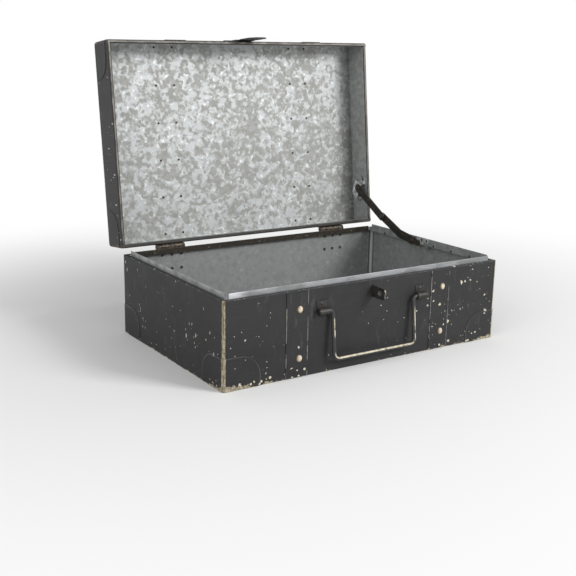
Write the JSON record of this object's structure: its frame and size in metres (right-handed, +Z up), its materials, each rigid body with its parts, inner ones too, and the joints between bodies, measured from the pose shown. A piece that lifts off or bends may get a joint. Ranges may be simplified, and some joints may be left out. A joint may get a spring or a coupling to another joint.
{
  "type": "small tin trunk",
  "caption": "Small sheet-metal trunk with a hinged lid, a folding stay, strap trim, a bail handle, and a hasp and staple for a padlock.",
  "frame": {"origin": "middle of the body's underside, which stands on the surface", "axes": "+X along the front from left to right, +Y from the front to the back, +Z up; stored with the lid open"},
  "size_m": [0.3718, 0.3291, 0.3452],
  "materials": {
    "enamelled_tinplate": "worn dark enamel outside, dull grey zinc inside",
    "black_enamel": "worn satin",
    "browned_steel": "browned, dull",
    "galvanised_steel": "spangled zinc",
    "brassed_rivet": "rubbed",
    "dark_steel": "dull"
  },
  "bodies": {
    "body": {"back_rim_strip": "black_enamel", "body_corner_plate_back_left": "black_enamel", "body_corner_plate_back_right": "black_enamel", "body_corner_plate_front_left": "black_enamel", "body_corner_plate_front_right": "black_enamel", "body_left_side": "enamelled_tinplate", "body_left_strap": "black_enamel", "body_right_side": "enamelled_tinplate", "body_right_strap": "black_enamel", "body_strap_rivets": "brassed_rivet", "body_wrap": "enamelled_tinplate", "front_rim_strip": "black_enamel", "handle_eye_rivets": "dark_steel", "handle_left_eye": "black_enamel", "handle_right_eye": "black_enamel", "hinge_body_rivets": "dark_steel", "left_hinge_body_leaf": "browned_steel", "left_hinge_pin": "dark_steel", "left_rim_strip": "black_enamel", "right_hinge_body_leaf": "browned_steel", "right_hinge_pin": "dark_steel", "right_rim_strip": "black_enamel", "rim_strip_rivets": "dark_steel", "staple": "browned_steel", "stay_body_bracket": "galvanised_steel", "stay_body_bracket_rivets": "dark_steel", "stay_body_pivot": "dark_steel"},
    "lid": {"hasp_leaf": "black_enamel", "hasp_leaf_rivets": "dark_steel", "hasp_pin": "dark_steel", "hinge_lid_rivets": "dark_steel", "left_hinge_lid_leaf": "browned_steel", "lid_corner_plate_back_left": "black_enamel", "lid_corner_plate_back_right": "black_enamel", "lid_corner_plate_front_left": "black_enamel", "lid_corner_plate_front_right": "black_enamel", "lid_left_side": "enamelled_tinplate", "lid_left_strap": "black_enamel", "lid_pan": "enamelled_tinplate", "lid_right_side": "enamelled_tinplate", "lid_right_strap": "black_enamel", "lid_strap_rivets": "brassed_rivet", "lid_strap_tacks": "dark_steel", "right_hinge_lid_leaf": "browned_steel", "stay_lid_bracket": "galvanised_steel", "stay_lid_bracket_rivets": "dark_steel", "stay_lid_pivot": "dark_steel"},
    "handle": {"handle_bail": "black_enamel"},
    "hasp": {"hasp_plate": "black_enamel"},
    "stay_lower": {"stay_lower_arm": "browned_steel", "stay_elbow_tail": "dark_steel"},
    "stay_upper": {"stay_upper_arm": "browned_steel", "stay_elbow_rivet": "dark_steel"}
  },
  "joints": [
    {"name": "lid_hinge", "type": "hinge", "parent": "body", "child": "lid", "pos_m": [0, 0.1234, 0.0978], "axis": [1, 0, 0], "range_deg": [0, 96.4]},
    {"name": "stay_body_pivot", "type": "hinge", "parent": "body", "child": "stay_lower", "pos_m": [0.176, 0.022, 0.0942], "axis": [1, 0, 0], "range_deg": [-64.8, 0]},
    {"name": "stay_lid_pivot", "type": "hinge", "parent": "lid", "child": "stay_upper", "pos_m": [0.174, 0.13939, 0.14612], "axis": [1, 0, 0], "range_deg": [-41.7, 0]},
    {"name": "hasp_hinge", "type": "hinge", "parent": "lid", "child": "hasp", "pos_m": [0, 0.1818, 0.33859], "axis": [-1, 0, 0], "range_deg": [0, 175]},
    {"name": "handle_pivot", "type": "hinge", "parent": "body", "child": "handle", "pos_m": [0, -0.1237, 0.0688], "axis": [-1, 0, 0], "range_deg": [-6, 160]}
  ],
  "couplings": [
    {"joint": "stay_body_pivot", "follows": "lid_hinge", "ratio": -0.67201},
    {"joint": "stay_lid_pivot", "follows": "lid_hinge", "ratio": -0.43194}
  ]
}
